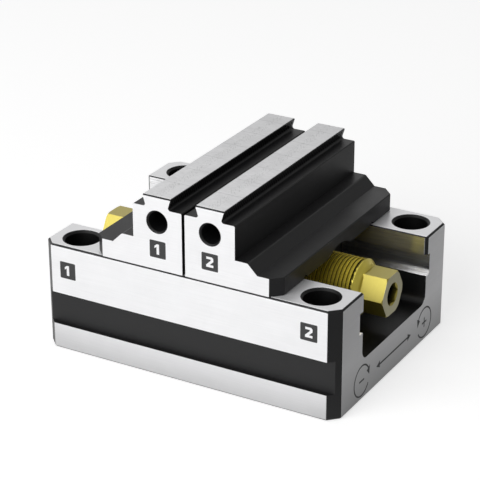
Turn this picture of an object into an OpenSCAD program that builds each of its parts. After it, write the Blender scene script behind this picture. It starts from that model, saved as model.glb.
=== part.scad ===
// Compact self centering vise: one body, two one-piece jaws and a spindle with
// left-hand and right-hand threads that is held at its middle.
// X runs along the spindle, Y across the jaws, Z up from the seat of the body.

/* [Body] */
// Length of the body along the spindle
body_l = 80; // [72:1:120]
// Width of the body and of both jaws
body_w = 60; // [58:1:90]
// Thickness of the floor under the channel
floor_t = 10.5; // [9:0.5:14]
// Height of the spindle axis above the channel floor
axis_rise = 9.5; // [8.5:0.25:12]
// Depth of the spindle axis below the ground top of the body
axis_drop = 8; // [7.5:0.25:11]
// Vertical chamfer on the four corners of the body and on the feet of the jaws
corner_chamfer = 2.65; // [1:0.05:3]
// Narrow chamfer round the top and bottom edges of the body
edge_chamfer = 0.5; // [0.2:0.1:0.8]

/* [Clamping groove] */
// Height of the middle of the side groove above the seat
groove_z = 10.95; // [9:0.25:12]
// Height of the side groove
groove_h = 8.5; // [5:0.25:10]
// Depth of the side groove
groove_d = 1.45; // [0.5:0.05:1.5]

/* [Guideway] */
// Height of the lips that hold the jaws down
lip_h = 4.8; // [4:0.1:5.2]
// Height of the slot under each lip
slot_h = 5.5; // [4:0.1:6]
// Depth of the slot behind each lip
slot_d = 1.65; // [1:0.05:1.9]
// Radius between the walls and the floor of the channel
floor_r = 2.4; // [1:0.1:3]
// Small chamfer along the upper edges of the lips
lip_chamfer = 0.3; // [0.1:0.05:0.5]
// Lead-in chamfer on the ends of the rear lip
lead_chamfer = 0.8; // [0.3:0.1:1.2]

/* [Mounting holes] */
// Diameter of the four corner holes
bolt_d = 8.4; // [6.4:0.1:9]
// Distance from the end of the body to the corner holes
bolt_inset_x = 7.5; // [7:0.1:9]
// Distance from the side of the body to the corner holes
bolt_inset_y = 6.25; // [6:0.05:6.5]
// Chamfer at the mouths of the corner holes
bolt_chamfer = 0.6; // [0.2:0.1:0.8]

/* [Jaws] */
// Gap between the jaws as the vise stands
jaw_gap = 0.8; // [0.4:0.1:6]
// Height of the jaws above the body
jaw_h = 18.5; // [16:0.25:26]
// Thickness of the upright part of each jaw
jaw_t = 13.2; // [12:0.1:18]
// Width of the step below the upright part
step_w = 3.25; // [2:0.05:6]
// Height of the step above the body
step_h = 7.1; // [6:0.1:9]
// Size of the slope between the step and the foot
slope = 2.55; // [1:0.05:3]
// Length of the flat top of the foot
foot_l = 5.65; // [4.5:0.05:10]

/* [Dovetail rail] */
// Height of the rail above the ledge of the jaw
rail_h = 2.95; // [2:0.05:4]
// Width of the rail at its ground top
rail_w = 7.65; // [6:0.05:9]
// Distance from the inner face of the jaw to the rail
rail_inset = 2.85; // [2:0.05:3.5]
// Angle of the undercut flanks from the vertical
dovetail_deg = 18; // [10:1:24]
// Radius at the root of the undercut
root_r = 0.6; // [0.3:0.05:0.8]
// Chamfer across the ends of the rail
rail_chamfer = 0.42; // [0.2:0.02:0.6]
// Narrow chamfer along the long edges of the jaws
edge_break = 0.2; // [0.1:0.05:0.4]

/* [Grip teeth on the undercut flanks] */
// Pitch of the upright teeth
tooth_pitch = 1; // [0.8:0.1:2]
// Depth of the notches between the teeth
tooth_depth = 0.3; // [0.15:0.05:0.4]
// Plain strip above the teeth
tooth_top = 0.45; // [0.3:0.05:0.8]
// Plain strip at each end of the rail
tooth_margin = 1; // [0.6:0.1:3]

/* [Stop holes in the jaw ends] */
// Core diameter of the threaded hole
stop_d = 5; // [4:0.1:6]
// Depth of the full bore
stop_depth = 12; // [8:0.5:16]
// Distance of the hole below the top of the rail
stop_drop = 6.45; // [6:0.05:8]
// Chamfer at the mouth of the hole
stop_chamfer = 0.45; // [0.2:0.05:0.7]
// Point angle of the drill
drill_deg = 118; // [90:2:140]

/* [Tongue of the jaws] */
// Length of the tongue in the channel
tongue_l = 15.6; // [13:0.2:20]
// Wall of the tongue on each side of the pocket for the centre bearing
tongue_wall = 2.6; // [2:0.1:4]
// Diameter of the pocket under the foot that lets a socket wrench pass
wrench_d = 20; // [17:0.5:22]
// Radius of the relief groove between foot and tongue
relief_r = 0.9; // [0.5:0.05:1.2]
// Chamfer at the mouth of the threaded bore
nut_chamfer = 0.8; // [0.3:0.1:1.2]
// Gap between the tongue and the floor of the channel
floor_gap = 0.7; // [0.4:0.1:1]

/* [Spindle] */
// Outer diameter of the thread
thread_d = 14; // [12:0.5:15]
// Width across the flats of the hexagon ends
hex_af = 10; // [8:0.25:11]
// Length of the hexagon ends
hex_l = 6.2; // [5:0.1:9]
// Distance from the end of the body to the end of the spindle
end_inset = 0.8; // [0:0.1:3]
// Width across the flats of the hexagon sockets
socket_af = 5; // [4:0.5:6]
// Depth of the hexagon sockets
socket_depth = 6; // [4:0.5:8]
// Depth of the countersink at the mouth of the sockets
socket_sink = 0.4; // [0.2:0.1:0.8]
// Plain ring left round the end of the hexagon by its turned chamfer
end_ring = 0.3; // [0.1:0.05:0.5]
// Diameter of the neck that runs in the bearing
neck_d = 10; // [8:0.25:11]

/* [Centre bearing] */
// Thickness of the bearing block along the spindle
bearing_t = 7; // [6.5:0.5:12]
// Wall of the bearing cap above the neck
cap_wall = 1.9; // [1.5:0.1:2.2]
// Depth of the cross slot that takes the thrust of the block
seat_depth = 0.6; // [0.3:0.1:1.5]
// Chamfer on the long edges of the bearing cap
cap_chamfer = 1; // [0.4:0.1:1.4]
// Diameter of the two long screws that hold the block
screw_d = 4; // [3:0.5:4]
// Wall between the bore of the bearing and each screw
screw_wall = 1.4; // [1:0.1:2]
// Metal left above the tips of the screws
tip_wall = 2; // [1.5:0.1:3]
// Depth that the threaded holes in the cap run past the tips of the screws
tip_gap = 0.8; // [0.3:0.1:1]
// Diameter of the heads of the screws
head_d = 7; // [5.5:0.5:7]
// Height of the heads of the screws
head_h = 4; // [3:0.5:4]
// Depth of the heads below the seat of the body
head_sink = 0.9; // [0.3:0.1:1.5]
// Width across the flats of the sockets in the heads
head_af = 3; // [2:0.5:3.5]
// Diameter of the dowels between the block and its cap
dowel_d = 2.5; // [2:0.25:3]
// Length of the dowels
dowel_l = 10; // [6:0.5:12]
// Wall between a dowel and the end of the block
dowel_wall = 0.75; // [0.5:0.05:1.2]
// Wall between a dowel and the screw beside it
dowel_land = 0.4; // [0.2:0.1:0.8]

/* [Clearances] */
// Gap under the feet of the jaws
slide_clear = 0.03; // [0.02:0.01:0.1]
// Gap between guide surfaces and jaw on each side
guide_clear = 0.05; // [0.02:0.01:0.1]
// Gap round the parts of the tongue that don't guide
free_clear = 0.15; // [0.1:0.05:0.4]
// Radial gap in the threaded bore and in the bearing
run_clear = 0.05; // [0.02:0.01:0.1]
// Gap between the shoulders of the spindle and the bearing block
end_float = 0.05; // [0.02:0.01:0.1]
// Gap between the block and the pocket in the jaws
pocket_clear = 0.4; // [0.2:0.1:0.8]
// Gap between the cap of the block and the roof of the pocket
cap_clear = 1.13; // [0.5:0.01:1.5]
// Gap round the screws
screw_clear = 0.15; // [0.05:0.05:0.3]
// Gap round the heads of the screws
head_clear = 0.3; // [0.1:0.05:0.5]
// Radial gap between the threads of the screws and the cap
tap_clear = 0.02; // [0.01:0.01:0.05]
// Radial gap round the dowels
dowel_clear = 0.01; // [0.01:0.01:0.03]
// Gap beyond each end of the dowels
dowel_end = 0.2; // [0.1:0.1:0.5]

/* [Hidden] */
$fn = 72;
eps = 0.5;
root_steps = 8;
ground = [0.82, 0.82, 0.83];
black = [0.13, 0.13, 0.14];
gold = [0.83, 0.7, 0.25];

// Levels, from the seat upwards
axis_z = floor_t + axis_rise;
body_h = axis_z + axis_drop;
roof_z = body_h - lip_h;
slot_z = roof_z - slot_h;
top_z = body_h + jaw_h;
ledge_z = top_z - rail_h;
step_z = body_h + step_h;
foot_z = step_z - slope;
foot_base = body_h + slide_clear;
tongue_base = floor_t + floor_gap;

// Stations along X of the jaw on the +X side
jaw_in = jaw_gap / 2;
rail_in = jaw_in + rail_inset;
rail_out = rail_in + rail_w;
flank_x = jaw_in + jaw_t;
step_x = flank_x + step_w;
foot_x = step_x + slope;
jaw_out = foot_x + foot_l;
tongue_out = jaw_in + tongue_l;
stop_x = (rail_in + rail_out) / 2;
stop_z = top_z - stop_drop;

// Spindle
thread_r = thread_d / 2;
hex_r = hex_af / 2 / cos(30);
spindle_end = body_l / 2 - end_inset;
hex_start = spindle_end - hex_l;
neck_l = bearing_t + 2 * end_float;

// Bearing block, its screws and its dowels
screw_y = neck_d / 2 + run_clear + screw_wall + screw_clear + screw_d / 2;
dowel_y = screw_y + screw_d / 2 + dowel_land + dowel_d / 2;
bearing_y = dowel_y + dowel_d / 2 + dowel_wall;
cap_top = axis_z + neck_d / 2 + cap_wall;
seat_z = floor_t - seat_depth;
head_seat = head_sink + head_h;
screw_top = cap_top - tip_wall;
bolt_x = body_l / 2 - bolt_inset_x;
bolt_y = body_w / 2 - bolt_inset_y;

// Half widths of the guideway and of the tongue
guide_y = bearing_y + pocket_clear + tongue_wall + guide_clear;
slot_y = guide_y + slot_d;
tongue_y = guide_y - guide_clear;
flange_y = slot_y - free_clear;
skirt_y = guide_y - free_clear;

function turn(r, angle) = [r * cos(angle), r * sin(angle)];
function arc(x, z, r, from, to) =
    [for (i = [0:root_steps]) [x, z] + turn(r, from + (to - from) * i / root_steps)];
function flip(points, x) = [for (i = [len(points) - 1:-1:0]) [2 * x - points[i][0], points[i][1]]];
function toward(p, q, c) = p + (q - p) * c / norm(q - p);
function broken(before, p, after, c) = [toward(p, before, c), toward(p, after, c)];
function mirror_y(points) = concat(points, [for (i = [len(points) - 1:-1:0]) [-points[i][0], points[i][1]]]);

// A profile drawn in Y and Z, run along X from x0 to x1
module along_x(x0, x1) {
    translate([x0, 0, 0]) rotate([90, 0, 90]) linear_extrude(x1 - x0) children();
}

// A profile drawn in X and Z, run along Y over the width w
module along_y(w) {
    translate([0, w / 2, 0]) rotate([90, 0, 0]) linear_extrude(w) children();
}

module block(x0, x1, y0, y1, z0, z1) {
    translate([x0, y0, z0]) cube([x1 - x0, y1 - y0, z1 - z0]);
}

module rod_x(r, x0, x1) {
    translate([x0, 0, axis_z]) rotate([0, 90, 0]) cylinder(r = r, h = x1 - x0);
}

// A hexagon along X with two of its flats level
module hexagon_x(af, x0, x1) {
    translate([x0, 0, axis_z]) rotate([0, 90, 0]) rotate(30)
        cylinder(r = af / 2 / cos(30), h = x1 - x0, $fn = 6);
}

// Outline of a plate with its long edges chamfered
module edge_profile(w, h, c) {
    polygon([[-w / 2, c], [-w / 2 + c, 0], [w / 2 - c, 0], [w / 2, c],
        [w / 2, h - c], [w / 2 - c, h], [-w / 2 + c, h], [-w / 2, h - c]]);
}

// Block with chamfered corners and a narrow chamfer round its top and bottom
module chamfered_block(l, w, h, corner, edge) {
    diagonal = (l + w - 2 * corner) / sqrt(2);
    intersection() {
        along_x(-l / 2, l / 2) edge_profile(w, h, edge);
        along_y(w) edge_profile(l, h, edge);
        rotate(45) along_y(2 * l) edge_profile(diagonal, h, edge);
        rotate(-45) along_y(2 * l) edge_profile(diagonal, h, edge);
    }
}

// Channel with a guide lip and a slot on each side
module channel_profile() {
    right = concat(
        arc(guide_y - floor_r, floor_t + floor_r, floor_r, -90, 0),
        [[guide_y, slot_z], [slot_y, slot_z], [slot_y, roof_z], [guide_y, roof_z],
            [guide_y, body_h - lip_chamfer], [guide_y + lip_chamfer + eps, body_h + eps]]);
    polygon(mirror_y(right));
}

module corner_holes() {
    for (x = [-bolt_x, bolt_x], y = [-bolt_y, bolt_y]) translate([x, y, 0]) {
        translate([0, 0, -eps]) cylinder(d = bolt_d, h = body_h + 2 * eps);
        translate([0, 0, body_h - bolt_chamfer])
            cylinder(r1 = bolt_d / 2, r2 = bolt_d / 2 + bolt_chamfer + eps, h = bolt_chamfer + eps);
        translate([0, 0, -eps])
            cylinder(r1 = bolt_d / 2 + bolt_chamfer + eps, r2 = bolt_d / 2, h = bolt_chamfer + eps);
    }
}

// Lead-in chamfers on both ends of the rear lip
module lead_chamfers() {
    for (side = [-1, 1]) translate([side * body_l / 2, guide_y, roof_z])
        linear_extrude(lip_h + eps) rotate(45) square(lead_chamfer * sqrt(2), center = true);
}

module base_body() {
    color(ground) difference() {
        chamfered_block(body_l, body_w, body_h, corner_chamfer, edge_chamfer);
        along_x(-body_l, body_l) channel_profile();
        for (side = [-1, 1])
            block(-body_l, body_l, side * body_w / 2 - groove_d, side * body_w / 2 + groove_d,
                groove_z - groove_h / 2, groove_z + groove_h / 2);
        corner_holes();
        lead_chamfers();
        block(-bearing_t / 2 - slide_clear, bearing_t / 2 + slide_clear,
            -bearing_y - pocket_clear, bearing_y + pocket_clear, seat_z, floor_t + eps);
        for (side = [-1, 1]) translate([0, side * screw_y, 0]) {
            translate([0, 0, -eps]) cylinder(r = screw_d / 2 + screw_clear, h = floor_t + 2 * eps);
            translate([0, 0, -eps]) cylinder(r = head_d / 2 + head_clear, h = head_seat + eps);
        }
    }
}

// Side view of a jaw: foot, slope, step, upright and dovetail rail
module jaw_profile() {
    lean = rail_h * tan(dovetail_deg);
    root_x = rail_in + lean - root_r * (1 / cos(dovetail_deg) + tan(dovetail_deg));
    inner_root = arc(root_x, ledge_z + root_r, root_r, dovetail_deg, -90);
    bottom_in = [jaw_in, foot_base];
    bottom_out = [jaw_out, foot_base];
    foot_top = [jaw_out, foot_z];
    step_corner = [step_x, step_z];
    flank_top = [flank_x, ledge_z];
    ledge_in = [jaw_in, ledge_z];
    tip_in = [rail_in, top_z];
    tip_out = [rail_out, top_z];
    polygon(concat(
        [bottom_in], broken(bottom_in, bottom_out, foot_top, edge_break),
        broken(bottom_out, foot_top, [foot_x, foot_z], edge_break),
        [[foot_x, foot_z]],
        broken([foot_x, foot_z], step_corner, [flank_x, step_z], edge_break),
        [[flank_x, step_z]],
        broken([flank_x, step_z], flank_top, ledge_in, edge_break),
        flip(inner_root, stop_x),
        broken([rail_out - lean, ledge_z], tip_out, tip_in, edge_break),
        broken(tip_out, tip_in, [rail_in + lean, ledge_z], edge_break),
        inner_root,
        broken(flank_top, ledge_in, bottom_in, edge_break)));
}

// Comb that cuts the notches of the inner undercut flank
module tooth_comb() {
    count = floor((body_w - 2 * tooth_margin) / tooth_pitch);
    rise = tooth_pitch / 2 - tooth_depth;
    half = count * tooth_pitch / 2;
    zigzag = [for (i = [0:2 * count]) [i * tooth_pitch / 2 - half, i % 2 == 0 ? rise : -tooth_depth]];
    low = (rail_h - root_r) / cos(dovetail_deg);
    high = tooth_top / cos(dovetail_deg);
    translate([rail_in, 0, top_z]) rotate([0, -dovetail_deg, 0]) translate([0, 0, -low])
        linear_extrude(low - high) rotate(90)
            polygon(concat(zigzag, [[half, rise + eps], [-half, rise + eps]]));
}

// End view of the tongue: guide, flanges under the lips and a skirt below
module tongue_profile() {
    corner = floor_r;
    right = [[skirt_y - corner, tongue_base], [skirt_y, tongue_base + corner],
        [skirt_y, slot_z + free_clear], [flange_y, slot_z + free_clear],
        [flange_y, roof_z - guide_clear], [tongue_y, roof_z - guide_clear],
        [tongue_y, foot_base + eps]];
    polygon(mirror_y(right));
}

// Threaded hole for a work stop, in the end of the jaw that faces the given side
module stop_hole(side) {
    translate([stop_x, side * body_w / 2, stop_z]) rotate([side * 90, 0, 0]) {
        translate([0, 0, -eps]) cylinder(d = stop_d, h = stop_depth + eps);
        translate([0, 0, stop_depth]) cylinder(r1 = stop_d / 2, r2 = 0, h = stop_d / 2 / tan(drill_deg / 2));
        translate([0, 0, -eps])
            cylinder(r1 = stop_d / 2 + stop_chamfer + eps, r2 = stop_d / 2, h = stop_chamfer + eps);
    }
}

module jaw() {
    pocket_x = bearing_t / 2 + pocket_clear + jaw_gap / 2;
    nut_r = thread_r + run_clear;
    difference() {
        union() {
            along_y(body_w) jaw_profile();
            along_x(jaw_in, tongue_out) tongue_profile();
        }
        for (side = [-1, 1]) {
            translate([jaw_out, side * body_w / 2, foot_base - eps]) linear_extrude(step_h + eps)
                rotate(45) square(corner_chamfer * sqrt(2), center = true);
            translate([0, side * body_w / 2, top_z]) rotate([45, 0, 0])
                cube([4 * jaw_out, rail_chamfer * sqrt(2), rail_chamfer * sqrt(2)], center = true);
            translate([-eps, side * guide_y, body_h]) rotate([0, 90, 0])
                cylinder(r = relief_r, h = jaw_out + 2 * eps, $fn = 32);
            stop_hole(side);
        }
        block(-eps, pocket_x, -bearing_y - pocket_clear, bearing_y + pocket_clear,
            tongue_base - eps, cap_top + cap_clear);
        rod_x(nut_r, 0, tongue_out + eps);
        translate([tongue_out - nut_chamfer, 0, axis_z]) rotate([0, 90, 0])
            cylinder(r1 = nut_r, r2 = nut_r + nut_chamfer, h = nut_chamfer);
        rod_x(wrench_d / 2, tongue_out, jaw_out + eps);
        tooth_comb();
        translate([2 * stop_x, 0, 0]) mirror([1, 0, 0]) tooth_comb();
    }
}

module right_jaw() {
    color(ground) jaw();
}

module left_jaw() {
    color(ground) rotate(180) jaw();
}

// Half of the spindle's turned outline, as radius and distance from the middle
module spindle_profile() {
    cone = thread_r - hex_r + edge_break;
    polygon([[0, 0], [neck_d / 2, 0], [neck_d / 2, neck_l / 2], [thread_r, neck_l / 2],
        [thread_r, hex_start - cone], [thread_r - cone, hex_start], [0, hex_start]]);
}

module spindle_half() {
    end_r = hex_af / 2 + end_ring;
    wide_r = hex_r + eps;
    round_l = hex_l + eps;
    difference() {
        union() {
            translate([0, 0, axis_z]) rotate([0, 90, 0]) rotate_extrude() spindle_profile();
            intersection() {
                hexagon_x(hex_af, hex_start - eps, spindle_end);
                translate([hex_start - eps, 0, axis_z]) rotate([0, 90, 0]) rotate_extrude()
                    polygon([[0, 0], [wide_r, 0], [wide_r, round_l - (wide_r - end_r) * tan(30)],
                        [end_r, round_l], [0, round_l]]);
            }
        }
        hexagon_x(socket_af, spindle_end - socket_depth, spindle_end + eps);
        translate([spindle_end - socket_sink, 0, axis_z]) rotate([0, 90, 0])
            cylinder(r1 = socket_af / 2, r2 = socket_af / 2 + 2 * socket_sink, h = 2 * socket_sink);
    }
}

module spindle() {
    color(gold) union() {
        spindle_half();
        rotate(180) spindle_half();
    }
}

// Bores for the neck, the screws and the dowels, shared by block and cap
module bearing_bores(screw_r) {
    rod_x(neck_d / 2 + run_clear, -bearing_t, bearing_t);
    bore_top = screw_top + tip_gap;
    for (side = [-1, 1]) {
        translate([0, side * screw_y, seat_z - eps]) cylinder(r = screw_r, h = bore_top - seat_z + eps);
        translate([0, side * dowel_y, axis_z - dowel_l / 2 - dowel_end])
            cylinder(r = dowel_d / 2 + dowel_clear, h = dowel_l + 2 * dowel_end);
    }
}

module bearing_block() {
    color(black) difference() {
        block(-bearing_t / 2, bearing_t / 2, -bearing_y, bearing_y, seat_z, axis_z);
        bearing_bores(screw_d / 2 + screw_clear);
    }
}

module bearing_cap() {
    color(black) difference() {
        block(-bearing_t / 2, bearing_t / 2, -bearing_y, bearing_y, axis_z, cap_top);
        bearing_bores(screw_d / 2 + tap_clear);
        for (side = [-1, 1]) translate([0, side * bearing_y, cap_top]) rotate([45, 0, 0])
            cube([2 * bearing_t, cap_chamfer * sqrt(2), cap_chamfer * sqrt(2)], center = true);
    }
}

// Socket head screw with its head in the underside of the body
module cap_screw() {
    difference() {
        union() {
            translate([0, 0, head_sink]) cylinder(d = head_d, h = head_h);
            translate([0, 0, head_sink]) cylinder(d = screw_d, h = screw_top - head_sink);
        }
        translate([0, 0, head_sink - eps])
            cylinder(r = head_af / 2 / cos(30), h = head_h / 2 + eps, $fn = 6);
    }
}

module screw_front() {
    color(black) translate([0, -screw_y, 0]) cap_screw();
}

module screw_rear() {
    color(black) translate([0, screw_y, 0]) cap_screw();
}

module dowel(side) {
    translate([0, side * dowel_y, axis_z - dowel_l / 2]) cylinder(d = dowel_d, h = dowel_l);
}

module dowel_front() {
    color(ground) dowel(-1);
}

module dowel_rear() {
    color(ground) dowel(1);
}

base_body();
left_jaw();
right_jaw();
spindle();
bearing_block();
bearing_cap();
screw_front();
screw_rear();
dowel_front();
dowel_rear();
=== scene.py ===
import math

import bmesh
import bpy
from mathutils import Matrix, Vector


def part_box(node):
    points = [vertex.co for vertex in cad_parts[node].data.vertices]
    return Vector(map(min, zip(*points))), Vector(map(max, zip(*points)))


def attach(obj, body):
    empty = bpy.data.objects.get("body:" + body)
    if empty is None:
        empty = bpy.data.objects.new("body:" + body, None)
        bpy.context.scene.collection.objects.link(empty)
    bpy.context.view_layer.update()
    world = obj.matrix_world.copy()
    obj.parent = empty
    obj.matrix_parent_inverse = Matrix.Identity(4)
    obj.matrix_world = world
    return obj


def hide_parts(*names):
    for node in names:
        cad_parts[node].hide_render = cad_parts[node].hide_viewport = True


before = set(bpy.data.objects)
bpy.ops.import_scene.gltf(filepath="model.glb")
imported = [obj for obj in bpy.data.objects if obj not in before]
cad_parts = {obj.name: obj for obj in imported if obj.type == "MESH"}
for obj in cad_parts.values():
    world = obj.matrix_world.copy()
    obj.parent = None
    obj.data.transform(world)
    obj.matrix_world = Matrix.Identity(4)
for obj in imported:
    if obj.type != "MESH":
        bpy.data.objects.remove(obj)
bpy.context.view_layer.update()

# Viewpoint: the vise is seen from its front right and from above, with a long lens. The three
# directions are the camera's right, down and ahead; they and its place in mm fit the photograph.
MM = 0.001
camera_right = Vector((0.8679502953, 0.4966420704, -0.0029897614))
camera_down = Vector((0.2039434685, -0.3618952182, -0.9096366927))
camera_ahead = Vector((-0.4528458307, 0.7889096938, -0.4153939680))
camera_place = Vector((208.7894, -367.6477, 218.3344))
sensor_width = 36.0
lens = 142.933
clip_start = 10.0

camera_data = bpy.data.cameras.new("viewpoint")
camera_data.sensor_width = sensor_width
camera_data.lens = lens
camera_data.clip_start = clip_start * MM
camera = bpy.data.objects.new("viewpoint", camera_data)
turned = Matrix((camera_right, -camera_down, -camera_ahead)).transposed().to_4x4()
camera.matrix_world = Matrix.Translation(camera_place * MM) @ turned
bpy.context.scene.collection.objects.link(camera)
bpy.context.scene.camera = camera

# Body: one block of hardened steel with a T-slotted channel. It is blackened all over, and then its
# top, sides, ends, lips, ledges and slot walls are ground bright. Chamfers, side grooves, channel
# and bolt holes stay black; the channel and the holes are painted darker still, as painted shade.
skin = 0.05  # what still counts as lying on a face, in mm
relief = 0.02  # how deep the lines of a finish go, in mm


def feed(tree, socket, term):
    """Links an input to an output, or sets it to a plain value."""
    if isinstance(term, bpy.types.NodeSocket):
        tree.links.new(term, socket)
    else:
        socket.default_value = term


def add_node(tree, kind, inputs=None, **settings):
    """A node with its settings, and its inputs fed by name or number."""
    made = tree.nodes.new(kind)
    for name, value in settings.items():
        setattr(made, name, value)
    for name, term in (inputs or {}).items():
        feed(tree, made.inputs[name], term)
    return made


def reckon(tree, operation, *terms):
    """A Math node over sockets and plain numbers."""
    return add_node(tree, "ShaderNodeMath", dict(enumerate(terms)), operation=operation).outputs[0]


def above(tree, value, level):
    return reckon(tree, "GREATER_THAN", value, level)


def below(tree, value, level):
    return reckon(tree, "LESS_THAN", value, level)


def between(tree, value, low, high):
    return reckon(tree, "COMPARE", value, (low + high) / 2, (high - low) / 2)


def close_to(tree, value, level, reach=skin):
    return between(tree, value, level - reach, level + reach)


def either(tree, *masks):
    joined = masks[0]
    for mask in masks[1:]:
        joined = reckon(tree, "MAXIMUM", joined, mask)
    return joined


def both(tree, *masks):
    joined = masks[0]
    for mask in masks[1:]:
        joined = reckon(tree, "MULTIPLY", joined, mask)
    return joined


def graded(tree, value, reach, shades):
    """The first shade up to where reach begins, the second from its end on, and straight between."""
    return add_node(tree, "ShaderNodeMapRange", {
        "Value": value, "From Min": reach[0], "From Max": reach[1],
        "To Min": shades[0], "To Max": shades[1]}).outputs[0]


def blend_numbers(tree, mask, low, high):
    """low where mask is 0, high where it is 1."""
    return add_node(tree, "ShaderNodeMix", {0: mask, 2: low, 3: high}, data_type="FLOAT").outputs[0]


def blend_colours(tree, mask, low, high):
    low, high = (term if isinstance(term, bpy.types.NodeSocket) else (*term, 1.0) for term in (low, high))
    return add_node(tree, "ShaderNodeMix", {0: mask, 6: low, 7: high}, data_type="RGBA").outputs[2]


def shaded(tree, colour, factor):
    """A colour times a number."""
    return add_node(tree, "ShaderNodeVectorMath", {0: colour, "Scale": factor}, operation="SCALE").outputs[0]


def stretched(tree, place, factors):
    """Coordinates times a factor for each axis, so that a pattern is drawn out along one of them."""
    return add_node(tree, "ShaderNodeVectorMath", {0: place, 1: factors}, operation="MULTIPLY").outputs[0]


def noise(tree, place, scale, detail, roughness=0.5):
    return add_node(tree, "ShaderNodeTexNoise", {
        "Vector": place, "Scale": scale, "Detail": detail, "Roughness": roughness}).outputs["Fac"]


def distance(tree, first, second):
    """The length of a vector with these two parts."""
    flat = add_node(tree, "ShaderNodeCombineXYZ", {0: first, 1: second}).outputs[0]
    return add_node(tree, "ShaderNodeVectorMath", {0: flat}, operation="LENGTH").outputs["Value"]


def finish_group(name, inputs):
    """An empty node group for a finish: inputs are (name, kind, value)."""
    group = bpy.data.node_groups.new(name, "ShaderNodeTree")
    for label, kind, value in inputs:
        socket = group.interface.new_socket(label, in_out="INPUT", socket_type=kind)
        if value is not None:
            socket.default_value = value
    for label, kind in (("Colour", "NodeSocketColor"), ("Roughness", "NodeSocketFloat"),
                        ("Height", "NodeSocketFloat")):
        group.interface.new_socket(label, in_out="OUTPUT", socket_type=kind)
    return group, group.nodes.new("NodeGroupInput").outputs, group.nodes.new("NodeGroupOutput").inputs


def ground_steel():
    """Fine lines left by a grinding wheel, with soft clouds where the wheel dwelt."""
    group, given, result = finish_group("ground steel", [
        ("Place", "NodeSocketVector", None), ("Stretch", "NodeSocketVector", (60.0, 3200.0, 3200.0)),
        ("Lines", "NodeSocketFloat", 0.12), ("Clouds", "NodeSocketFloat", 0.08),
        ("Bright", "NodeSocketColor", (0.82, 0.82, 0.83, 1.0))])
    lines = noise(group, stretched(group, given["Place"], given["Stretch"]), 1.0, 3.0, 0.6)
    clouds = noise(group, given["Place"], 210.0, 4.0, 0.6)
    line_part = reckon(group, "MULTIPLY", reckon(group, "SUBTRACT", lines, 0.5), given["Lines"])
    cloud_part = reckon(group, "MULTIPLY", reckon(group, "SUBTRACT", clouds, 0.5), given["Clouds"])
    shade = reckon(group, "ADD", reckon(group, "ADD", line_part, cloud_part), 1.0)
    line_rough = reckon(group, "MULTIPLY_ADD", lines, 0.14, 0.27)
    feed(group, result["Colour"], shaded(group, given["Bright"], shade))
    feed(group, result["Roughness"], reckon(group, "MULTIPLY_ADD", clouds, 0.1, line_rough))
    feed(group, result["Height"], lines)
    return group


def black_oxide():
    """Thin black conversion layer over machined steel: faint cutter marks and a satin grain."""
    group, given, result = finish_group("black oxide", [
        ("Place", "NodeSocketVector", None), ("Stretch", "NodeSocketVector", (90.0, 1500.0, 1500.0)),
        ("Dark", "NodeSocketColor", (0.009, 0.009, 0.0095, 1.0)), ("Spread", "NodeSocketFloat", 0.7)])
    cutter = noise(group, stretched(group, given["Place"], given["Stretch"]), 1.0, 2.0)
    grain = noise(group, given["Place"], 2600.0, 2.0)
    clouds = noise(group, given["Place"], 120.0, 3.0)
    mixed = reckon(group, "MULTIPLY_ADD", grain, 0.4, reckon(group, "MULTIPLY", clouds, 0.6))
    shade = reckon(group, "MULTIPLY_ADD", reckon(group, "SUBTRACT", mixed, 0.5), given["Spread"], 1.0)
    cloud_rough = reckon(group, "MULTIPLY_ADD", clouds, 0.16, 0.34)
    feed(group, result["Colour"], shaded(group, given["Dark"], shade))
    feed(group, result["Roughness"], reckon(group, "MULTIPLY_ADD", grain, 0.08, cloud_rough))
    feed(group, result["Height"], reckon(group, "MULTIPLY_ADD", grain, 0.5, cutter))
    return group


def finish_on(tree, group, place, **changed):
    """A finish over these coordinates, as its colour, roughness and height."""
    made = add_node(tree, "ShaderNodeGroup", {"Place": place, **changed}, node_tree=group)
    return tuple(made.outputs)


def blend_finishes(tree, mask, low, high):
    """Two finishes by a mask, each as colour, roughness and height."""
    return (blend_colours(tree, mask, low[0], high[0]), blend_numbers(tree, mask, low[1], high[1]),
            blend_numbers(tree, mask, low[2], high[2]))


def open_material(name, specular):
    """A new material: its tree, its shader, Object coordinates, and the same in mm, split in three."""
    made = bpy.data.materials.new(name)
    made.use_nodes = True
    tree = made.node_tree
    shader = tree.nodes["Principled BSDF"].inputs
    shader["Specular IOR Level"].default_value = specular
    place = add_node(tree, "ShaderNodeTexCoord").outputs["Object"]
    in_mm = add_node(tree, "ShaderNodeVectorMath", {0: place, "Scale": 1 / MM}, operation="SCALE")
    return made, tree, shader, place, add_node(tree, "ShaderNodeSeparateXYZ", {0: in_mm.outputs[0]}).outputs


def lay_on(tree, shader, colour, rough, height=None, strength=0.25):
    """Gives a shader its colour and roughness, and the finish's height as relief."""
    feed(tree, shader["Base Color"], colour)
    feed(tree, shader["Roughness"], rough)
    if height is not None:
        bump = add_node(tree, "ShaderNodeBump",
                        {"Height": height, "Strength": strength, "Distance": relief * MM})
        feed(tree, shader["Normal"], bump.outputs[0])


def far_corner(node_name):
    """The highest corner of a node, in mm."""
    return [round(size / MM, 3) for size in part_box(node_name)[1]]


def dress(node_name, material):
    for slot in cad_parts[node_name].material_slots:
        slot.material = material


ground_steel_finish = ground_steel()
black_oxide_finish = black_oxide()

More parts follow.
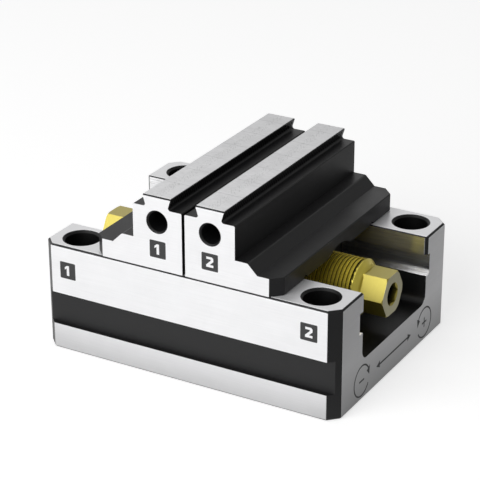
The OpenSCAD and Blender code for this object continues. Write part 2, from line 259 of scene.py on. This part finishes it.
body_half_l, body_half_w, body_top = far_corner("base_body")
edge_break = 0.3
lip_y = 17.3
lip_low = 23.2
ledge_level = 17.7
ledge_skin = 0.03
slot_y = 18.95
strip_top = 6.7
groove_mid = 7.7
bolt_x = 32.5
bolt_y = 23.75
bolt_r = 4.6
# Painted light and shade on the bright faces: the low strip, the slot walls and the ends.
strip_painted_shades = (0.6, 0.87)
wall_foot_h = 3.5
wall_painted_levels = (0.42, 1.25)
end_foot_h = 12.0
end_foot_painted_shades = (0.48, 1.0)
end_side_painted_levels = (0.78, 1.06)
# Painted shade in the channel and the bolt holes.
hollow_painted_shade = 0.3
guide_gloss = 0.6
side_metal = 0.45
end_metal = 0.3
guide_metal = 0.95

body_steel, tree, shader, place, axes = open_material("body steel", 0.3)
along = reckon(tree, "ABSOLUTE", axes[0])
across = reckon(tree, "ABSOLUTE", axes[1])
up = axes[2]
sides = above(tree, across, body_half_w - skin)
ends = above(tree, along, body_half_l - skin)
top = above(tree, up, body_top - skin)
seat = below(tree, up, skin)
lips = both(tree, close_to(tree, across, lip_y), between(tree, up, lip_low, body_top - edge_break))
ledges = both(tree, close_to(tree, up, ledge_level, ledge_skin),
              between(tree, across, lip_y - skin, slot_y + 2 * skin))
slot_walls = both(tree, close_to(tree, across, slot_y), between(tree, up, ledge_level, lip_low))
guides = either(tree, lips, ledges, slot_walls)
bright = either(tree, sides, ends, top, seat, guides)
lines_along = finish_on(tree, ground_steel_finish, place)
# The ends are ground across, and their bright colour is set darker than the sides' as painted shade.
lines_across = finish_on(tree, ground_steel_finish, place, Stretch=(2600.0, 70.0, 900.0),
                         Bright=(0.74, 0.74, 0.75, 1.0))
guide_lines = finish_on(tree, ground_steel_finish, place, Stretch=(130.0, 2600.0, 2600.0),
                        Lines=1.1, Clouds=0.7)
oxide = finish_on(tree, black_oxide_finish, place)
colour, rough, height = blend_finishes(tree, ends, lines_along, lines_across)
colour = blend_colours(tree, guides, colour, guide_lines[0])
rough = blend_numbers(tree, guides, rough, reckon(tree, "MULTIPLY", guide_lines[1], guide_gloss))
# Each bright face has its own painted light and shade: the strip under the groove is darker towards
# the bottom, the ends darker towards the bottom and the front, the slot walls darker at their foot and
# brighter above.
strip_painted_shade = blend_numbers(tree, below(tree, up, groove_mid), 1.0,
                            graded(tree, up, (0.0, strip_top), strip_painted_shades))
end_painted_shade = both(tree, graded(tree, up, (0.0, end_foot_h), end_foot_painted_shades),
                 graded(tree, axes[1], (-body_half_w, body_half_w), end_side_painted_levels))
wall_painted_shade_and_light = graded(tree, up, (ledge_level, ledge_level + wall_foot_h), wall_painted_levels)
ground_painted_light_and_shade = blend_numbers(tree, slot_walls, blend_numbers(tree, ends, strip_painted_shade, end_painted_shade), wall_painted_shade_and_light)
ground = (shaded(tree, colour, ground_painted_light_and_shade), rough, height)
# Painted shade: the channel and the bolt holes are painted darker than the rest of the black.
in_channel = both(tree, below(tree, across, lip_y - 2 * skin), below(tree, up, ledge_level),
                  above(tree, up, strip_top))
in_bolt_hole = below(tree, distance(tree, reckon(tree, "SUBTRACT", along, bolt_x),
                                    reckon(tree, "SUBTRACT", across, bolt_y)), bolt_r)
hollow_painted_dark = blend_numbers(tree, either(tree, in_channel, in_bolt_hole), 1.0, hollow_painted_shade)
black = (shaded(tree, oxide[0], hollow_painted_dark), *oxide[1:])
lay_on(tree, shader, *blend_finishes(tree, bright, black, ground))
metal = blend_numbers(tree, guides, blend_numbers(tree, ends, side_metal, end_metal), guide_metal)
feed(tree, shader["Metallic"], blend_numbers(tree, bright, 0.0, metal))
dress("base_body", body_steel)

# Jaws: each is one block of hardened steel, blackened, with the top of its dovetail rail and its
# two ends ground bright. The wheel was stepped along the rail and left a faint line at each step,
# and short ticks aslant along the middle.
jaw_end, rail_top = far_corner("right_jaw")[1:]
wheel_step = 9.1
step_line_half = 0.12
step_line_shade = 0.82
rail_mid = 7.1
tick_band_half = 1.1
tick_slant = math.radians(60)
tick_shades = (0.78, 1.0)
# Painted shade: the rail tops darker towards the rear.
rail_painted_shades = (0.97, 0.83)
jaw_metal = 0.45

jaw_steel, tree, shader, place, axes = open_material("jaw steel", 0.3)
ends = above(tree, reckon(tree, "ABSOLUTE", axes[1]), jaw_end - skin)
rail = above(tree, axes[2], rail_top - skin)
bright = either(tree, ends, rail)
plain_ground = finish_on(tree, ground_steel_finish, place)
rail_ground = finish_on(tree, ground_steel_finish, place, Stretch=(600.0, 2900.0, 2900.0),
                        Lines=0.4, Clouds=0.34, Bright=(0.78, 0.78, 0.79, 1.0))
oxide = finish_on(tree, black_oxide_finish, place, Stretch=(1500.0, 90.0, 1500.0))
from_line = reckon(tree, "MODULO", reckon(tree, "ADD", axes[1], jaw_end + 10 * wheel_step), wheel_step)
off_line = between(tree, from_line, step_line_half, wheel_step - step_line_half)
in_band = close_to(tree, reckon(tree, "ABSOLUTE", axes[0]), rail_mid, tick_band_half)
aslant = add_node(tree, "ShaderNodeVectorRotate", {"Vector": place, "Angle": tick_slant},
                  rotation_type="Z_AXIS").outputs[0]
ticks = noise(tree, stretched(tree, aslant, (750.0, 3200.0, 0.0)), 1.0, 2.0)
# The rail's shading holds the step lines, the ticks, and a painted shade darker towards the rear.
rail_marks_and_painted_shade = both(tree, blend_numbers(tree, off_line, step_line_shade, 1.0),
                  graded(tree, axes[1], (-jaw_end, jaw_end), rail_painted_shades),
                  blend_numbers(tree, in_band, 1.0, graded(tree, ticks, (0.3, 0.5), tick_shades)))
rail_ground = (shaded(tree, rail_ground[0], rail_marks_and_painted_shade), *rail_ground[1:])
ground = blend_finishes(tree, rail, plain_ground, rail_ground)
lay_on(tree, shader, *blend_finishes(tree, bright, oxide, ground))
feed(tree, shader["Metallic"], blend_numbers(tree, bright, 0.0, jaw_metal))
dress("left_jaw", jaw_steel)
dress("right_jaw", jaw_steel)

# Spindle: one turned bar with a left-hand thread on +X and a right-hand thread on -X, a hexagon
# with a socket at each end, and a hard yellow-gold coating. The thread is rougher. Its colour is painted
# dark in the roots and bright on the crests, as painted shade and painted highlight; the sockets have
# painted shade that deepens with their depth; the hexagon is painted darker and the neck, collar and
# cone brighter; and the end faces are painted paler and greyer, as painted reflection.
spindle_z = 20.0
thread_r = 7.0
root_r = 6.4
thread_pitch = 1.0
thread_from = 4.7
thread_to = 30.9
collar_from = 31.15
run_out = 0.25
hex_from = 33.0
hex_end = far_corner("spindle")[0]
socket_r = 3.0
gold_dark = (0.45, 0.37, 0.04)
gold_light = (0.54, 0.45, 0.056)
# Painted reflection: the end faces' paler, greyer gold.
gold_end_painted_reflection = (0.6, 0.56, 0.32)
# Painted light and shade of the coating: the thread's roots and crests, the sockets, the neck and the
# hexagon.
thread_painted_levels = (0.1, 1.8)
socket_painted_shades = (0.02, 0.75)
neck_painted_light = 1.35
hexagon_painted_shade = 0.7
thread_dull = 1.7
gold_metal = 0.85
coat_weight = 0.42
coat_ior = 1.8
coat_rough = 0.4

gold_coat, tree, shader, place, axes = open_material("gold coating", 0.5)
along = reckon(tree, "ABSOLUTE", axes[0])
radius = distance(tree, axes[1], reckon(tree, "SUBTRACT", axes[2], spindle_z))
turned_marks = noise(tree, stretched(tree, place, (3000.0, 260.0, 260.0)), 1.0, 3.0)
patches = noise(tree, place, 260.0, 3.0)
tone = reckon(tree, "MULTIPLY_ADD", turned_marks, 0.35, reckon(tree, "MULTIPLY", patches, 0.65))
on_thread = both(tree, below(tree, along, thread_to + 2 * skin), above(tree, along, thread_from))
in_socket = both(tree, below(tree, radius, socket_r), below(tree, along, hex_end - 0.02))
on_end = above(tree, along, hex_end - 0.04)
# Painted shade in the thread's roots and painted highlight on its crests.
thread_painted_shade_and_highlight = graded(tree, radius, (root_r, thread_r - 2 * skin), thread_painted_levels)
# Painted shade: the sockets grow darker, and their coat weaker, with depth.
socket_painted_shade = graded(tree, along, (hex_end - 1.8, hex_end - 0.2), socket_painted_shades)
# Painted light on the neck, collar and cone, painted shade on the hexagon.
plain_painted_light_and_shade = blend_numbers(tree, above(tree, along, hex_from), neck_painted_light, hexagon_painted_shade)
outer_painted_light_and_shade = blend_numbers(tree, on_thread, plain_painted_light_and_shade, thread_painted_shade_and_highlight)
gold_painted_light_and_shade = blend_numbers(tree, in_socket, outer_painted_light_and_shade, socket_painted_shade)
colour = blend_colours(tree, graded(tree, tone, (0.3, 0.7), (0.0, 1.0)), gold_dark, gold_light)
# Painted reflection: the end faces are paler and greyer.
colour = blend_colours(tree, on_end, colour, gold_end_painted_reflection)
rough = reckon(tree, "MULTIPLY_ADD", tone, 0.2, 0.3)
rough = blend_numbers(tree, on_thread, rough, reckon(tree, "MULTIPLY", rough, thread_dull))
lay_on(tree, shader, shaded(tree, colour, gold_painted_light_and_shade), rough, turned_marks, strength=0.2)
shader["Metallic"].default_value = gold_metal
feed(tree, shader["Coat Weight"],
     reckon(tree, "MULTIPLY", blend_numbers(tree, in_socket, 1.0, socket_painted_shade), coat_weight))
shader["Coat IOR"].default_value = coat_ior
shader["Coat Roughness"].default_value = coat_rough


def loose_mesh(name, mesh, material):
    """An object for a mesh, with its material."""
    piece = bpy.data.objects.new(name, mesh)
    bpy.context.scene.collection.objects.link(piece)
    mesh.materials.append(material)
    return piece


def spindle_core():
    """The solid's own mesh, turned down to the root of the thread between neck and collar."""
    work = bmesh.new()
    work.from_mesh(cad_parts["spindle"].data)
    bmesh.ops.remove_doubles(work, verts=work.verts, dist=1e-6)
    for side in (-1, 1):
        for cut in (collar_from, collar_from - run_out):
            bmesh.ops.bisect_plane(work, geom=work.verts[:] + work.edges[:] + work.faces[:], dist=1e-7,
                                   plane_co=(side * cut * MM, 0, 0), plane_no=(1, 0, 0))
    for vert in work.verts:
        from_axis = vert.co.z - spindle_z * MM
        radius = math.hypot(vert.co.y, from_axis)
        if radius > (thread_r - 3 * skin) * MM and abs(vert.co.x) < (collar_from - 2 * skin) * MM:
            vert.co.y *= root_r * MM / radius
            vert.co.z = spindle_z * MM + from_axis * root_r * MM / radius
    bmesh.ops.recalc_face_normals(work, faces=work.faces[:])
    mesh = bpy.data.meshes.new("spindle_core")
    work.to_mesh(mesh)
    work.free()
    return mesh


def thread_tree():
    """A ridge swept along a helix about X: named sizes in, one closed mesh out."""
    group = bpy.data.node_groups.new("thread ridge", "GeometryNodeTree")
    sockets = {}
    for label, kind in (("Turns", "Float"), ("Length", "Float"), ("Root Radius", "Float"),
                        ("Start", "Float"), ("Axis Height", "Float"), ("Half Turn", "Float"),
                        ("Other Hand", "Bool"), ("Material", "Material")):
        socket = group.interface.new_socket(label, in_out="INPUT", socket_type="NodeSocket" + kind)
        sockets[label] = socket.identifier
    group.interface.new_socket("Geometry", in_out="OUTPUT", socket_type="NodeSocketGeometry")
    given = group.nodes.new("NodeGroupInput").outputs
    result = group.nodes.new("NodeGroupOutput").inputs
    helix = add_node(group, "GeometryNodeCurveSpiral", {
        "Resolution": points_per_turn, "Rotations": given["Turns"], "Start Radius": given["Root Radius"],
        "End Radius": given["Root Radius"], "Height": given["Length"], "Reverse": given["Other Hand"]})
    upright = add_node(group, "GeometryNodeSetCurveNormal", {"Curve": helix.outputs[0]}, mode="Z_UP")
    section = add_node(group, "GeometryNodeCurvePrimitiveQuadrilateral", {
        "Point 1": (-foot_half * MM, -ridge_sunk * MM, 0.0), "Point 2": (-crest_half * MM, ridge_h * MM, 0.0),
        "Point 3": (crest_half * MM, ridge_h * MM, 0.0), "Point 4": (foot_half * MM, -ridge_sunk * MM, 0.0)},
        mode="POINTS")
    swept = add_node(group, "GeometryNodeCurveToMesh", {
        "Curve": upright.outputs[0], "Profile Curve": section.outputs[0], "Fill Caps": True})
    shift = add_node(group, "ShaderNodeCombineXYZ", {"X": given["Start"], "Z": given["Axis Height"]})
    half_turn = add_node(group, "FunctionNodeAxisAngleToRotation",
                         {"Angle": given["Half Turn"], "Axis": (0.0, 0.0, 1.0)})
    onto_x = add_node(group, "FunctionNodeEulerToRotation", {0: (0.0, math.pi / 2, 0.0)})
    turned_over = add_node(group, "FunctionNodeRotateRotation",
                           {"Rotation": onto_x.outputs[0], "Rotate By": half_turn.outputs[0]})
    placed = add_node(group, "GeometryNodeTransform", {
        "Geometry": swept.outputs[0], "Translation": shift.outputs[0], "Rotation": turned_over.outputs[0]})
    whole = add_node(group, "GeometryNodeRealizeInstances", {"Geometry": placed.outputs[0]})
    coated = add_node(group, "GeometryNodeSetMaterial",
                      {"Geometry": whole.outputs[0], "Material": given["Material"]})
    feed(group, result[0], coated.outputs[0])
    return group, sockets


def grown(name, group, sockets, values):
    """Runs a geometry tree with these inputs and keeps its result as a plain mesh."""
    seed = bpy.data.objects.new(name + "_seed", bpy.data.meshes.new(name + "_seed"))
    bpy.context.scene.collection.objects.link(seed)
    modifier = seed.modifiers.new("grow", "NODES")
    modifier.node_group = group
    for label, value in values.items():
        modifier[sockets[label]] = value
    bpy.context.view_layer.update()
    mesh = bpy.data.meshes.new_from_object(seed.evaluated_get(bpy.context.evaluated_depsgraph_get()))
    mesh.name = name
    bpy.data.objects.remove(seed)
    return mesh


points_per_turn = 48
ridge_h = thread_r - root_r
ridge_sunk = 0.25
foot_half = 0.49
crest_half = 0.18
crease = math.radians(25)
square_on = 1e-4

thread_group, thread_sockets = thread_tree()
spindle_work = bmesh.new()
spindle_work.from_mesh(spindle_core())
for side in (-1, 1):
    ridge = grown("thread_ridge", thread_group, thread_sockets, {
        "Turns": (thread_to - thread_from) / thread_pitch, "Length": (thread_to - thread_from) * MM,
        "Root Radius": root_r * MM, "Start": side * thread_from * MM, "Axis Height": spindle_z * MM,
        "Half Turn": 0.0 if side > 0 else math.pi, "Other Hand": side > 0, "Material": gold_coat})
    ridge_work = bmesh.new()
    ridge_work.from_mesh(ridge)
    bmesh.ops.recalc_face_normals(ridge_work, faces=ridge_work.faces[:])
    ridge_work.to_mesh(ridge)
    ridge_work.free()
    spindle_work.from_mesh(ridge)
    bpy.data.meshes.remove(ridge)
spindle_mesh = bpy.data.meshes.new("threaded_spindle")
spindle_work.to_mesh(spindle_mesh)
spindle_work.free()
spindle_mesh.shade_smooth()
spindle_mesh.set_sharp_from_angle(angle=crease)
for face in spindle_mesh.polygons:
    lean = abs(face.normal.x)
    if abs(face.center.x) > hex_from * MM and (lean < square_on or lean > 1 - square_on):
        face.use_smooth = False
threaded_spindle = loose_mesh("threaded_spindle", spindle_mesh, gold_coat)
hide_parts("spindle")
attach(threaded_spindle, "spindle")

# Centre bearing: a split block that holds the spindle's neck, with two screws from below and two
# dowels. It stands in the channel under the jaws; block, cap and screws are blackened steel, and
# the dowels are ground.
bearing_black, tree, shader, place, axes = open_material("bearing black", 0.3)
lay_on(tree, shader, *finish_on(tree, black_oxide_finish, place, Dark=(0.02, 0.02, 0.021, 1.0)))
dress("bearing_block", bearing_black)
dress("bearing_cap", bearing_black)

screw_black = bearing_black.copy()
screw_black.name = "screw black"
dress("screw_front", screw_black)
dress("screw_rear", screw_black)

dowel_metal = 0.8
dowel_steel, tree, shader, place, axes = open_material("dowel steel", 0.4)
lay_on(tree, shader, *finish_on(tree, ground_steel_finish, place, Stretch=(700.0, 700.0, 3500.0))[:2])
shader["Metallic"].default_value = dowel_metal
dress("dowel_front", dowel_steel)
dress("dowel_rear", dowel_steel)

# Marks: dark laser-marked squares with a plain numeral on the front of body and jaws, and two turning
# arrows with a double arrow between them on the +X end. All are as thin as the marking itself.
mark_skin = 0.012
square_half = 2.18
square_cut = 0.18
body_mark = (32.7, 21.7)
jaw_mark = (7.0, 33.2)
ring_y = 17.2
ring_z = 5.2
ring_r = 3.9
ring_line = 0.42
ring_open = 150
ring_tip = 180
ring_parts = 40
head_half = 0.95
sign_arm = 1.3
sign_half = 0.22
arrow_tip = 9.5
arrow_neck = 7.6
arrow_half = 0.25

mark_dark, tree, shader, place, axes = open_material("laser mark", 0.3)
speckle = noise(tree, place, 5000.0, 2.0)
lay_on(tree, shader, blend_colours(tree, speckle, (0.02, 0.02, 0.021), (0.055, 0.055, 0.056)),
       reckon(tree, "MULTIPLY_ADD", speckle, 0.3, 0.4))

numeral_bright, tree, shader, place, axes = open_material("bare numeral", 0.3)
lay_on(tree, shader, *finish_on(tree, ground_steel_finish, place)[:2])
shader["Metallic"].default_value = jaw_metal


def thin_plate(work, loops, lay, low, high):
    """Closed plates from flat outlines, between two heights above the face that lay puts them on."""
    for loop in loops:
        base = [work.verts.new(lay(u, v, low)) for u, v in loop]
        cover = [work.verts.new(lay(u, v, high)) for u, v in loop]
        work.faces.new(base[::-1])
        work.faces.new(cover)
        for number in range(len(loop)):
            after = (number + 1) % len(loop)
            work.faces.new((base[number], base[after], cover[after], cover[number]))


def thin_strip(work, outer, inner, lay, low, high):
    """A closed plate between two lines of points, for a bent line."""
    rows = [[work.verts.new(lay(u, v, level)) for u, v in line]
            for line, level in ((outer, low), (inner, low), (inner, high), (outer, high))]
    for row, beside in zip(rows, rows[1:] + rows[:1]):
        for number in range(len(outer) - 1):
            work.faces.new((row[number], row[number + 1], beside[number + 1], beside[number]))
    work.faces.new([row[0] for row in rows])
    work.faces.new([row[-1] for row in reversed(rows)])


def mark_piece(name, loops, lay, low, high, material, body, strips=()):
    """One mark as a piece of its own, built in mm, that rides with its body."""
    work = bmesh.new()
    thin_plate(work, loops, lay, low, high)
    for outer, inner in strips:
        thin_strip(work, outer, inner, lay, low, high)
    work.normal_update()
    bmesh.ops.triangulate(work, faces=work.faces[:], ngon_method="EAR_CLIP")
    bmesh.ops.recalc_face_normals(work, faces=work.faces[:])
    bmesh.ops.scale(work, vec=(MM, MM, MM), verts=work.verts[:])
    mesh = bpy.data.meshes.new(name)
    work.to_mesh(mesh)
    work.free()
    piece = loose_mesh(name, mesh, material)
    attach(piece, body)


def shifted(loop, u, v):
    return [(u + du, v + dv) for du, dv in loop]


def on_front(u, v, out):
    return (u, -(body_half_w + out), v)


def on_right_end(u, v, out):
    return (body_half_l + out, u, v)


edge = square_half - square_cut
square = [(-edge, -square_half), (edge, -square_half), (square_half, -edge), (square_half, edge),
          (edge, square_half), (-edge, square_half), (-square_half, edge), (-square_half, -edge)]
numerals = {
    "one": [(-0.3, -1.3), (0.4, -1.3), (0.4, 1.3), (-0.2, 1.3), (-0.85, 0.8), (-0.85, 0.2), (-0.3, 0.6)],
    "two": [(-0.95, -1.3), (0.95, -1.3), (0.95, -0.7), (0.0, -0.7), (0.95, 0.2), (0.95, 0.95), (0.6, 1.3),
            (-0.9, 1.3), (-0.9, 0.7), (0.25, 0.7), (0.25, 0.4), (-0.95, -0.75)],
}
for word, body, slot, (u, v), side in (
        ("one", "body", "body_steel", body_mark, -1), ("two", "body", "body_steel", body_mark, 1),
        ("one", "left_jaw", "jaw_steel", jaw_mark, -1), ("two", "right_jaw", "jaw_steel", jaw_mark, 1)):
    name = "mark_%s_%s" % (body, word)
    mark_piece(name, [shifted(square, side * u, v)], on_front, -mark_skin, mark_skin, mark_dark, body)
    mark_piece(name + "_numeral", [shifted(numerals[word], side * u, v)], on_front, 0.0, 2 * mark_skin,
               numeral_bright, body)


def ring_point(sense, degrees, radius):
    turn = math.radians(degrees)
    return (sense * (ring_y + radius * math.cos(turn)), ring_z + radius * math.sin(turn))


def ring_edge(sense, radius):
    """One edge of the open ring's line, from one end round to the other."""
    return [ring_point(sense, ring_open - 2 * ring_open * number / ring_parts, radius)
            for number in range(ring_parts + 1)]


def ring_head(sense):
    """The arrow head at the ring's opening."""
    return [ring_point(sense, ring_open, ring_r - head_half),
            ring_point(sense, ring_open, ring_r + head_half), ring_point(sense, ring_tip, ring_r)]


# The ring with + shows the turn that opens the jaws, the one with - the turn that closes them.
minus = [(-sign_arm, -sign_half), (sign_arm, -sign_half), (sign_arm, sign_half), (-sign_arm, sign_half)]
plus = [(-sign_arm, -sign_half), (-sign_half, -sign_half), (-sign_half, -sign_arm), (sign_half, -sign_arm),
        (sign_half, -sign_half), (sign_arm, -sign_half), (sign_arm, sign_half), (sign_half, sign_half),
        (sign_half, sign_arm), (-sign_half, sign_arm), (-sign_half, sign_half), (-sign_arm, sign_half)]
double_arrow = [(-arrow_tip, 0.0), (-arrow_neck, head_half), (-arrow_neck, arrow_half),
                (arrow_neck, arrow_half), (arrow_neck, head_half), (arrow_tip, 0.0),
                (arrow_neck, -head_half), (arrow_neck, -arrow_half),
                (-arrow_neck, -arrow_half), (-arrow_neck, -head_half)]
end_loops = [ring_head(-1), shifted(minus, -ring_y, ring_z), ring_head(1), shifted(plus, ring_y, ring_z),
             shifted(double_arrow, 0.0, ring_z)]
end_strips = [(ring_edge(sense, ring_r + ring_line / 2), ring_edge(sense, ring_r - ring_line / 2))
              for sense in (-1, 1)]
mark_piece("mark_turning_arrows", end_loops, on_right_end, -mark_skin, mark_skin, mark_dark, "body",
           end_strips)

# Studio: a plain pale floor, one wide soft lamp at the front left and an even white surround. Floor
# and surround look white, but light the vise more weakly and mirror darker towards +X.
floor_half = 3.0
floor_grey = 0.6
floor_glow = 0.65
floor_mirror_x = (0.03, 0.06)
floor_mirror = (1.0, 0.12)
surround_side = (-0.3, 0.35)
surround_mirror = (1.0, 0.4)
surround_light = 0.3
lamp_towards = Vector((-0.25, -0.88, 0.44)).normalized()
lamp_aim = Vector((0.0, 0.0, 0.02))
lamp_distance = 0.8
lamp_size = 0.9
lamp_power = 6.0


def split_rays(tree):
    """Masks for the rays that show a surface, as seen or mirrored, and for the mirrored ones alone."""
    rays = add_node(tree, "ShaderNodeLightPath").outputs
    seen = either(tree, rays["Is Camera Ray"], rays["Is Glossy Ray"], rays["Is Transmission Ray"])
    return seen, rays["Is Glossy Ray"]


floor_mesh = bpy.data.meshes.new("floor")
floor_mesh.from_pydata([(-floor_half, -floor_half, 0), (floor_half, -floor_half, 0),
                        (floor_half, floor_half, 0), (-floor_half, floor_half, 0)], [], [(0, 1, 2, 3)])
floor_paint, tree, shader, place, axes = open_material("floor paint", 0.0)
shader["Base Color"].default_value = (floor_grey, floor_grey, floor_grey, 1.0)
shader["Roughness"].default_value = 0.9
shader["Emission Color"].default_value = (1.0, 1.0, 1.0, 1.0)
seen, mirrored = split_rays(tree)
floor_x = add_node(tree, "ShaderNodeSeparateXYZ", {0: place}).outputs[0]
glow = blend_numbers(tree, mirrored, seen, graded(tree, floor_x, floor_mirror_x, floor_mirror))
feed(tree, shader["Emission Strength"], reckon(tree, "MULTIPLY", glow, floor_glow))
floor = loose_mesh("floor", floor_mesh, floor_paint)

world = bpy.data.worlds.new("studio")
bpy.context.scene.world = world
world.use_nodes = True
tree = world.node_tree
backdrop = tree.nodes["Background"].inputs
backdrop["Color"].default_value = (1.0, 1.0, 1.0, 1.0)
seen, mirrored = split_rays(tree)
direction = add_node(tree, "ShaderNodeTexCoord").outputs["Generated"]
sideways = add_node(tree, "ShaderNodeSeparateXYZ", {0: direction}).outputs[0]
shown = blend_numbers(tree, mirrored, seen, graded(tree, sideways, surround_side, surround_mirror))
feed(tree, backdrop["Strength"], blend_numbers(tree, seen, surround_light, shown))

lamp_data = bpy.data.lights.new("key_lamp", "AREA")
lamp_data.shape = "DISK"
lamp_data.size = lamp_size
lamp_data.energy = lamp_power
lamp = bpy.data.objects.new("key_lamp", lamp_data)
lamp.matrix_world = (Matrix.Translation(lamp_aim + lamp_towards * lamp_distance)
                     @ lamp_towards.to_track_quat("Z", "Y").to_matrix().to_4x4())
bpy.context.scene.collection.objects.link(lamp)

bpy.context.scene.view_settings.view_transform = "Standard"
